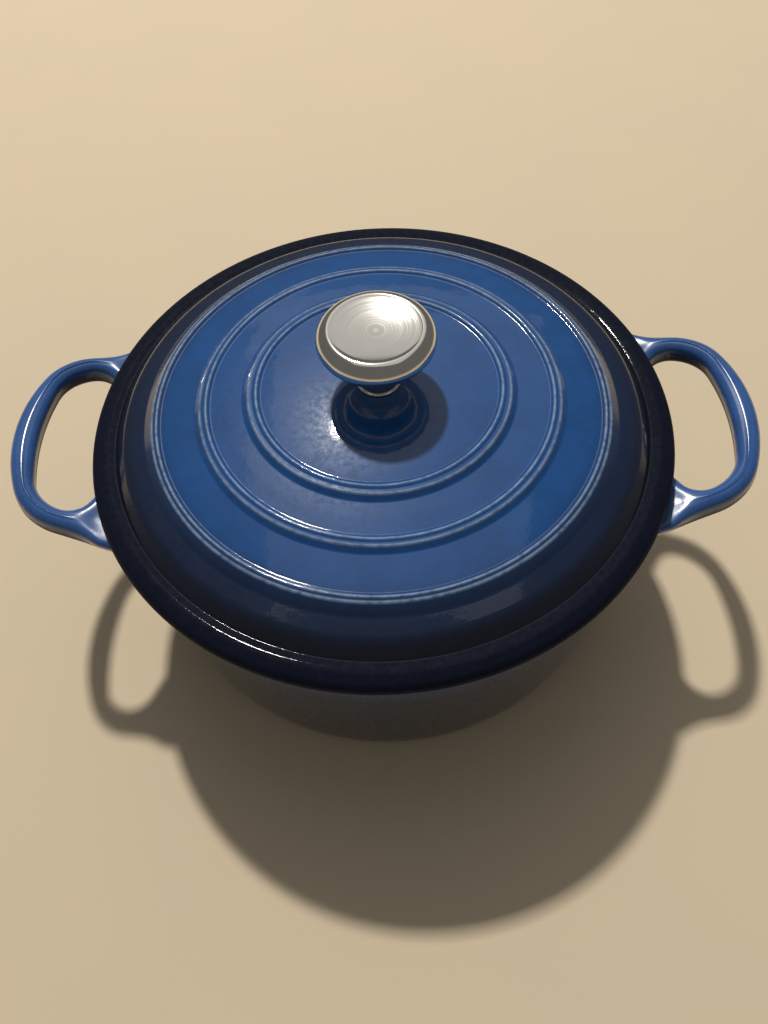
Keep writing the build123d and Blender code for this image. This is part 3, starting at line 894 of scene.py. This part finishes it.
def root_rows(columns, pot, handle, start):
    """Rows that carry each column on to the wall, with a fillet, and a little way inside."""
    rows = []
    parts = [("run", (step + 1) / TAIL_STEPS) for step in range(TAIL_STEPS)]
    parts += [("blend", share) for share in BLEND_PARTS] + [("sink", 0)]
    for kind, share in parts:
        row = []
        for column in columns:
            gaps = [hypot(at.x, at.y) - wall_radius(pot, at.z) for at, _ in column]
            first = gaps[start]
            if kind == "run":
                target = first + (handle.blend - first) * share
            elif kind == "blend":
                target = handle.blend * share
            else:
                target = -SINK
            number = start
            while number < len(column) - 2 and gaps[number + 1] > target:
                number += 1
            step = gaps[number] - gaps[number + 1]
            part = (gaps[number] - target) / step if abs(step) > 1e-9 else 0.0
            here, there = column[number][0], column[number + 1][0]
            at = here.lerp(there, part)
            away = column[number][1].lerp(column[number + 1][1], min(part, 1.0)).normalized()
            if kind != "run":
                inwards = Vector((-at.x, -at.y, 0)).normalized()
                square = max(0.0, (there - here).normalized().dot(inwards)) ** 2
                left = handle.blend * (1 - max(share, 0.0)) if kind == "blend" else handle.blend
                swell = handle.blend - sqrt(handle.blend ** 2 - left ** 2)
                at = at + away * swell * square
            row.append(at)
        rows.append(row)
    return rows


def half_loop_rows(pot, handle):
    """Rows of points from the grip's middle to inside the wall, for positive Y."""
    rings = [loop_ring(station, handle) for station in loop_stations(handle)]
    lean = handle.tilt
    columns = []
    for number in range(len(rings[0])):
        column = []
        for ring in rings:
            spot, depth, (flat, up) = ring[number]
            away = Vector((flat.x * cos(lean) - up * sin(lean), flat.y,
                           flat.x * sin(lean) + up * cos(lean)))
            column.append((tilt_up(handle, spot, depth), away))
        columns.append(column)
    clear = 0
    for number in range(len(rings)):
        gap = min(hypot(c[number][0].x, c[number][0].y) - wall_radius(pot, c[number][0].z)
                  for c in columns)
        if gap > handle.blend * 1.15:
            clear = number
    rows = [[column[number][0] for column in columns] for number in range(clear + 1)]
    return rows + root_rows(columns, pot, handle, clear)


def loop_mesh(name, pot, handle, side, finish):
    """The whole loop as one closed shell; side is 1 for the right and -1 for the left."""
    half = half_loop_rows(pot, handle)
    other = [[Vector((at.x, -at.y, at.z)) for at in row] for row in half]
    rows = other[:0:-1] + half
    mesh = bpy.data.meshes.new(name)
    shape = bmesh.new()
    rings = []
    for row in rows:
        rings.append([shape.verts.new((side * at.x, side * at.y, at.z)) for at in row])
    count = len(rows[0])
    for ring, following in zip(rings, rings[1:]):
        for number in range(count):
            after = (number + 1) % count
            shape.faces.new((ring[number], ring[after], following[after], following[number]))
    shape.faces.new(rings[0])
    shape.faces.new(rings[-1])
    bmesh.ops.recalc_face_normals(shape, faces=shape.faces)
    for face in shape.faces:
        face.smooth = True
    shape.to_mesh(mesh)
    shape.free()
    mesh.materials.append(finish)
    return mesh


class OVEN_OT_handles(bpy.types.Operator):
    """Two loop handles that rise outwards and blend into the pot's wall"""
    bl_idname = "oven.handles"
    bl_label = "Handles"

    def execute(self, context):
        pot = context.scene.oven_pot
        handle = context.scene.oven_handles
        finish = handle_enamel(context.scene.oven_finishes, handle)
        for word, side in (("right", 1), ("left", -1)):
            name = f"{word}_handle_loop"
            piece = new_piece(name, loop_mesh(name, pot, handle, side, finish))
            fit(piece, "pot", f"{word}_handle")
        return {"FINISHED"}


# ---------------------------------------------------------------- lid

PLATEAU_STEPS = 12
TURN_ROUND = 4 * MM        # rounding where the flange turns down to the edge
EDGE_TOP_ROUND = 3 * MM    # rounding at the top of the upright edge


def sphere_height(apex, radius, at):
    return apex - at ** 2 / (2 * radius)


def lid_top_corners(lid):
    """Top of the lid from the knob's seat to the flange."""
    corners = [(lid.crown_radius, lid.crown_height, 2 * MM)]
    ribs = ((lid.rib_1, lid.rib_width_1), (lid.rib_2, lid.rib_width_2),
            (lid.rib_3, lid.rib_width_3))
    start, end = lid.crown_radius + 4 * MM, lid.rib_1 - lid.rib_run - 2 * MM
    for number in range(PLATEAU_STEPS + 1):
        at = start + (end - start) * number / PLATEAU_STEPS
        corners.append((at, sphere_height(lid.plateau_apex, lid.dome_radius, at), 0))
    for number, (inner, width) in enumerate(ribs):
        outer = inner + width
        inner_top = sphere_height(lid.rib_apex, lid.dome_radius, inner)
        outer_top = sphere_height(lid.rib_apex, lid.dome_radius, outer) - lid.rib_drop
        valley = (inner_top + outer_top) / 2 - lid.rib_valley
        corners += [
            (inner - lid.rib_run, inner_top - lid.rib_rise, 1.2 * MM),
            (inner, inner_top, 0.7 * MM),
            (inner + width / 2, valley, 1.2 * MM),
            (outer, outer_top, 0.8 * MM),
        ]
        if number < len(ribs) - 1:
            foot = outer + lid.step_run
            foot_top = outer_top - lid.step_drop
            following = ribs[number + 1][0] - lid.rib_run
            following_top = sphere_height(lid.rib_apex, lid.dome_radius,
                                          ribs[number + 1][0]) - lid.rib_rise
            middle = (foot + following) / 2
            bulge = (following - foot) ** 2 / (8 * lid.dome_radius)
            corners.append((foot, foot_top, 1.5 * MM))
            corners.append((middle, (foot_top + following_top) / 2 + bulge, 200 * MM))
    corners += [
        (lid.step_radius, lid.step_height, 2.5 * MM),
        (lid.shoulder_radius, lid.shoulder_height, 7 * MM),
        (lid.groove_radius, lid.groove_height, 0.8 * MM),
        (lid.flange_radius, lid.flange_height, lid.flange_round),
        (lid.turn_radius, lid.turn_height, TURN_ROUND),
    ]
    return corners


def lid_under_corners(lid, seat, layer):
    """Inside of the lid from the locating ring's foot to the washer's landing."""
    ring = lid.ring_inner - layer
    rib_1_top = sphere_height(lid.rib_apex, lid.dome_radius, lid.rib_1)
    rib_3_top = sphere_height(lid.rib_apex, lid.dome_radius, lid.rib_3)
    return [
        (ring, lid.ring_bottom, 0.0),
        (ring, seat + 1 * MM - layer, 2 * MM),
        (ring - 6 * MM, lid.groove_height - 0.5 * MM - layer, 12 * MM),
        (lid.rib_3, rib_3_top - lid.thickness - 1.6 * MM - layer, 60 * MM),
        (lid.rib_1, rib_1_top - lid.thickness - 1.2 * MM - layer, 60 * MM),
        (lid.boss_radius, lid.crown_height - lid.thickness - layer, 0.0),
    ]


def lid_line(lid, pot):
    """Closed outline of the lid's casting."""
    seat = pot.rim_height + lid.seat_gap
    boss = lid.crown_height - lid.thickness
    corners = [(lid.hole_radius, lid.crown_height, 0)] + lid_top_corners(lid)
    corners += [
        (lid.edge_radius, lid.edge_top, EDGE_TOP_ROUND),
        (lid.edge_radius, seat, lid.edge_round),
        (lid.seat_outer, seat, 0.5 * MM),
        (lid.ring_outer, seat, 0.6 * MM),
        (lid.ring_outer - 0.4 * MM, lid.ring_bottom, 1 * MM),
        (lid.ring_inner, lid.ring_bottom, 0.8 * MM),
    ]
    corners += lid_under_corners(lid, seat, 0)[1:]
    corners.append((lid.hole_radius, boss, 0))
    return outline(corners, closed=True)


def lid_lining_line(lid, pot):
    """Closed outline of the pale enamel under the lid."""
    seat = pot.rim_height + lid.seat_gap
    above = outline(lid_under_corners(lid, seat, 0))
    below = outline(lid_under_corners(lid, seat, lid.enamel))
    return above[::-1] + below


class OVEN_OT_lid(bpy.types.Operator):
    """Turned lid with stepped ribs, and the pale enamel under it"""
    bl_idname = "oven.lid"
    bl_label = "Lid"

    def execute(self, context):
        lid = context.scene.oven_lid
        pot = context.scene.oven_pot
        finishes = context.scene.oven_finishes
        blue = lid_enamel(finishes, lid)
        shell = new_piece("lid_shell", turned_mesh("lid_shell", lid_line(lid, pot), True,
                                                   lid.segments, blue))
        fit(shell, "lid", "lid_casting")
        sand = bpy.data.materials["sand_enamel"]
        lining = new_piece("lid_lining", turned_mesh("lid_lining", lid_lining_line(lid, pot),
                                                     True, pot.segments, sand))
        fit(lining, "lid", "lid_underside_enamel")
        return {"FINISHED"}


# ---------------------------------------------------------------- knob

def dish_points(edge_radius, edge_height, middle_height, steps):
    """Points of the dished top from its middle out to its edge."""
    sagitta = edge_height - middle_height
    curve = (edge_radius ** 2 + sagitta ** 2) / (2 * sagitta)
    points = []
    for number in range(steps):
        at = edge_radius * number / steps
        points.append((at, middle_height + curve - sqrt(curve ** 2 - at ** 2), 0))
    return points


def cap_line(knob):
    """Pressed cap: from the middle of its dish over the rim and side to the lip, then inside."""
    wall = knob.wall
    shoulder = (knob.shoulder_radius, knob.shoulder_height)
    dish_edge = (knob.dish_radius, knob.dish_edge)
    outside = dish_points(*dish_edge, knob.dish_height, 16)
    outside += arc_through(dish_edge, (knob.rim_radius, knob.rim_height), shoulder, 8)[:-1]
    outside += arc_through(shoulder, (knob.widest_radius, knob.widest_height),
                           (knob.lip_radius, knob.lip_height), 30)
    inner_shoulder = (knob.shoulder_radius - wall * 0.5, knob.shoulder_height - wall)
    inner_lip = (knob.lip_radius - wall * 0.3, knob.lip_height + wall)
    inside = dish_points(*inner_shoulder, knob.dish_height - wall, 8)
    inside += arc_through(inner_shoulder, (knob.widest_radius - wall, knob.widest_height),
                          inner_lip, 12)
    return outline(outside) + outline(inside)[::-1]


def neck_corners(knob, lid, inset):
    straight = lid.crown_height + knob.foot_height + knob.neck_height
    return [
        (knob.neck_radius - inset, straight, 4 * MM),
        (knob.neck_radius + knob.flare_out - inset * 0.6, straight + knob.flare_up + inset * 0.5,
         8 * MM),
        (knob.lip_radius - inset * 0.3, knob.lip_height + inset, 0),
    ]


def neck_line(knob, lid):
    """Closed outline of the turned neck with its thin foot and its flare."""
    foot = lid.crown_height + knob.foot_height
    bore = knob.neck_radius - knob.wall
    outer = outline([
        (knob.foot_radius, lid.crown_height, 0),
        (knob.foot_radius, foot, 0.3 * MM),
        (knob.neck_radius, foot + 0.4 * MM, 0.3 * MM),
    ] + neck_corners(knob, lid, 0))
    inner = outline([(bore, lid.crown_height, 0)] + neck_corners(knob, lid, knob.wall))
    return inner + outer[::-1]


def sleeve_line(inner, outer, bottom, top, ease):
    """Closed outline of a plain sleeve with eased edges."""
    return outline([(inner, top, ease), (outer, top, ease), (outer, bottom, ease),
                    (inner, bottom, ease)], closed=True)


class OVEN_OT_knob(bpy.types.Operator):
    """Stainless steel knob: pressed cap, turned neck and threaded boss"""
    bl_idname = "oven.knob"
    bl_label = "Knob"

    def execute(self, context):
        knob = context.scene.oven_knob
        lid = context.scene.oven_lid
        steel = tuple(context.scene.oven_finishes.steel)
        cap = turned_steel("satin_steel", steel, 0.09, 0.14, 0.0012 * MM)
        polish = turned_steel("polished_steel", steel, 0.05, 0.11, 0.001 * MM)
        bottom = lid.crown_height + knob.insert_recess
        pieces = (
            ("knob_cap_shell", cap_line(knob), False, cap, "knob_cap"),
            ("knob_neck_turned", neck_line(knob, lid), True, polish, "knob_neck"),
            ("knob_insert_boss", sleeve_line(knob.bore_radius, knob.neck_radius - knob.wall,
                                             bottom, bottom + knob.insert_length, 0.3 * MM),
             True, polish, "knob_insert"),
        )
        for name, line, closed, finish, node in pieces:
            piece = new_piece(name, turned_mesh(name, line, closed, knob.segments, finish))
            fit(piece, "knob", node)
        return {"FINISHED"}


# ---------------------------------------------------------------- screw and washer

TIP = 0.7 * MM             # chamfer of the shank's tip
PROUD = 0.5 * MM           # how far the recess cutter stands out of the head
THREAD_START = 1.6 * MM    # the thread begins this far above the head
THREAD_SHORT = 3 * MM      # and is this much shorter than the shank
WASHER_SEGMENTS = 96


def screw_line(screw, under_head):
    """Shank and pan head from the shank's tip to the head's face."""
    tip = under_head + screw.length
    head = under_head - screw.head_height
    return outline([
        (0, tip, 0),
        (screw.core_radius - TIP, tip, 0.1 * MM),
        (screw.core_radius, tip - TIP, 0.1 * MM),
        (screw.core_radius, under_head, 0.2 * MM),
        (screw.head_radius, under_head, 0.2 * MM),
        (screw.head_radius, head, screw.head_round),
        (0, head, 0),
    ])


def cross_recess(screw, face):
    """Cross shaped cutter that stands a little proud of the head's face."""
    shape = bmesh.new()
    deep = screw.recess_depth + PROUD
    half = screw.recess_width / 2
    arm = screw.recess_span / 2
    ring = [(arm, -half), (arm, half), (half, half), (half, arm), (-half, arm), (-half, half),
            (-arm, half), (-arm, -half), (-half, -half), (-half, -arm), (half, -arm),
            (half, -half)]
    base = [shape.verts.new((x, y, face - PROUD)) for x, y in ring]
    floor = shape.faces.new(base)
    grown = bmesh.ops.extrude_face_region(shape, geom=[floor])
    top = [item for item in grown["geom"] if isinstance(item, bmesh.types.BMVert)]
    bmesh.ops.translate(shape, verts=top, vec=(0, 0, deep))
    bmesh.ops.recalc_face_normals(shape, faces=shape.faces)
    mesh = bpy.data.meshes.new("cross_recess")
    shape.to_mesh(mesh)
    shape.free()
    return new_piece("cross_recess", mesh)


def cut_away(mesh, cutter):
    """The mesh with the cutter's shape taken out of it."""
    blank = new_piece("blank", mesh)
    modifier = blank.modifiers.new("Recess", "BOOLEAN")
    modifier.operation = "DIFFERENCE"
    modifier.solver = "EXACT"
    modifier.object = cutter
    graph = bpy.context.evaluated_depsgraph_get()
    result = bpy.data.meshes.new_from_object(blank.evaluated_get(graph))
    bpy.data.objects.remove(blank)
    bpy.data.objects.remove(cutter)
    return result


def screw_mesh(screw, under_head, finish):
    """Screw with its cross recess and its wound thread."""
    line = screw_line(screw, under_head)
    blank = turned_mesh("screw_blank", line, False, screw.segments, finish)
    face = under_head - screw.head_height
    body = cut_away(blank, cross_recess(screw, face))
    run = screw.length - THREAD_SHORT
    holder = bpy.data.objects.new("thread_holder", bpy.data.meshes.new("thread_holder"))
    ridge = screw.thread_radius - screw.core_radius
    thread = grow("thread", holder, thread_tree(), {
        "Turns": run / screw.pitch, "Radius": screw.core_radius, "Ridge": ridge,
        "Length": run, "Start": (0, 0, under_head + THREAD_START), "Finish": finish})
    shape = bmesh.new()
    shape.from_mesh(body)
    shape.from_mesh(thread)
    mesh = bpy.data.meshes.new("screw_with_thread")
    shape.to_mesh(mesh)
    shape.free()
    mesh.materials.append(finish)
    return mesh


class OVEN_OT_fastening(bpy.types.Operator):
    """Pan head screw with a cross recess, and its washer"""
    bl_idname = "oven.fastening"
    bl_label = "Screw and washer"

    def execute(self, context):
        screw = context.scene.oven_screw
        lid = context.scene.oven_lid
        zinc = turned_steel("plated_steel", tuple(context.scene.oven_finishes.zinc), 0.22,
                            0.38, 0.004 * MM)
        landing = lid.crown_height - lid.thickness
        under_head = landing - screw.washer_height
        piece = new_piece("screw_with_thread", screw_mesh(screw, under_head, zinc))
        fit(piece, "screw", "knob_screw")
        line = sleeve_line(screw.washer_hole, screw.washer_radius, under_head, landing,
                           0.25 * MM)
        washer = new_piece("washer_ring", turned_mesh("washer_ring", line, True,
                                                       WASHER_SEGMENTS, zinc))
        fit(washer, "washer", "screw_washer")
        return {"FINISHED"}


# ---------------------------------------------------------------- studio

AIM_HEIGHT = 112 * MM      # the lamps and the camera face the middle of the lid's edge plane
KEY_DISTANCE = 4.0
KEY_SIDE = 0.2             # the key lamp is a small square
KEY_COLOUR = (1.0, 0.955, 0.87)
PANEL_AZIMUTH = radians(87)
PANEL_ELEVATION = radians(60)
PANEL_DISTANCE = 2.2
PANEL_WIDTH = 1.7
PANEL_DEPTH = 2.4
PANEL_COLOUR = (1.0, 0.975, 0.93)
ROOM_COLOUR = (1.0, 0.97, 0.92, 1)
FLOOR_HALF = 4.0           # half of the floor's side
FLOOR_DROP = -0.05 * MM    # the floor lies this little under the pot


def towards(azimuth, elevation):
    """Direction from the object, azimuth from the right, elevation above the floor."""
    return Vector((cos(elevation) * cos(azimuth), cos(elevation) * sin(azimuth),
                   sin(elevation)))


def area_lamp(name, azimuth, elevation, distance, width, depth, power, shade, aim):
    lamp = bpy.data.lights.new(name, "AREA")
    lamp.shape = "RECTANGLE"
    lamp.size = width
    lamp.size_y = depth
    lamp.energy = power
    lamp.color = shade
    holder = bpy.data.objects.new(name, lamp)
    bpy.context.collection.objects.link(holder)
    away = towards(azimuth, elevation)
    holder.location = aim + away * distance
    holder.rotation_euler = away.to_track_quat("Z", "Y").to_euler()
    return holder


def paper_material(paper):
    """Pale floor paper with a faint tooth."""
    material, tree, shader, place, *_ = start_material("pale_paper")
    tooth = noise(tree, place, 1.2 * MM, detail=2.0)
    cloud = noise(tree, place, 90 * MM)
    base = blend_colour(tree, spread(tree, cloud, 0.3, 0.7, 0.0, 0.07), paper,
                        (0.60, 0.55, 0.48))
    tree.links.new(base, shader.inputs["Base Color"])
    shader.inputs["Roughness"].default_value = 0.85
    relief(tree, shader, tooth, 0.03 * MM)
    return material


def floor_plane(paper):
    half, drop = FLOOR_HALF, FLOOR_DROP
    mesh = bpy.data.meshes.new("studio_floor")
    mesh.from_pydata([(-half, -half, drop), (half, -half, drop), (half, half, drop),
                      (-half, half, drop)], [], [(0, 1, 2, 3)])
    mesh.materials.append(paper_material(paper))
    return new_piece("studio_floor", mesh)


def studio_camera(studio, aim):
    """Camera aimed at the lid, then turned by its own small yaw, pitch and roll."""
    data = bpy.data.cameras.new("studio_camera")
    data.sensor_width = 36
    data.lens = studio.lens
    data.clip_start = 0.01
    data.clip_end = 50
    holder = bpy.data.objects.new("studio_camera", data)
    bpy.context.collection.objects.link(holder)
    away = towards(studio.camera_azimuth - pi / 2, studio.camera_elevation)
    ahead = -away
    right = Vector((cos(studio.camera_azimuth), sin(studio.camera_azimuth), 0))
    upright = right.cross(ahead)
    yaw = Matrix.Rotation(studio.camera_yaw, 3, upright)
    ahead, right = yaw @ ahead, yaw @ right
    pitch = Matrix.Rotation(studio.camera_pitch, 3, right)
    ahead, upright = pitch @ ahead, pitch @ upright
    roll = Matrix.Rotation(studio.camera_roll, 3, ahead)
    right, upright = roll @ right, roll @ upright
    turn = Matrix((right, upright, -ahead)).transposed()
    holder.matrix_world = Matrix.Translation(aim + away * studio.camera_distance) @ \
        turn.to_4x4()
    bpy.context.scene.camera = holder
    return holder


class OVEN_OT_studio(bpy.types.Operator):
    """Pale floor, soft studio light and the camera"""
    bl_idname = "oven.studio"
    bl_label = "Studio"

    def execute(self, context):
        studio = context.scene.oven_studio
        scene = context.scene
        scene.view_settings.view_transform = "Standard"
        scene.view_settings.look = "None"
        world = bpy.data.worlds.new("studio_room")
        world.use_nodes = True
        room = world.node_tree.nodes["Background"]
        room.inputs["Color"].default_value = ROOM_COLOUR
        room.inputs["Strength"].default_value = studio.surround
        scene.world = world
        aim = Vector((0, 0, AIM_HEIGHT))
        key = area_lamp("key_lamp", studio.key_azimuth, studio.key_elevation, KEY_DISTANCE,
                        KEY_SIDE, KEY_SIDE, studio.key_power, KEY_COLOUR, aim)
        panel = area_lamp("back_panel", PANEL_AZIMUTH, PANEL_ELEVATION, PANEL_DISTANCE,
                          PANEL_WIDTH, PANEL_DEPTH, studio.panel_power, PANEL_COLOUR, aim)
        paper = floor_plane(tuple(studio.paper))
        camera = studio_camera(studio, aim)
        return {"FINISHED"}


# ---------------------------------------------------------------- panel and registration

OPERATORS = (OVEN_OT_pot, OVEN_OT_handles, OVEN_OT_lid, OVEN_OT_knob, OVEN_OT_fastening,
             OVEN_OT_studio)


class OVEN_PT_panel(bpy.types.Panel):
    bl_label = "Dutch Oven"
    bl_idname = "OVEN_PT_panel"
    bl_space_type = "VIEW_3D"
    bl_region_type = "UI"
    bl_category = "Dutch Oven"

    def draw(self, context):
        for operator in OPERATORS:
            self.layout.operator(operator.bl_idname)


def register():
    for name, group in SETTINGS.items():
        bpy.utils.register_class(group)
        setattr(bpy.types.Scene, name, PointerProperty(type=group))
    for item in (*OPERATORS, OVEN_PT_panel):
        bpy.utils.register_class(item)


def unregister():
    for item in (OVEN_PT_panel, *reversed(OPERATORS)):
        bpy.utils.unregister_class(item)
    for name, group in SETTINGS.items():
        delattr(bpy.types.Scene, name)
        bpy.utils.unregister_class(group)


def main():
    register()
    bpy.ops.oven.pot()
    bpy.ops.oven.handles()
    bpy.ops.oven.lid()
    bpy.ops.oven.knob()
    bpy.ops.oven.fastening()
    bpy.ops.oven.studio()


if __name__ == "__main__":
    main()
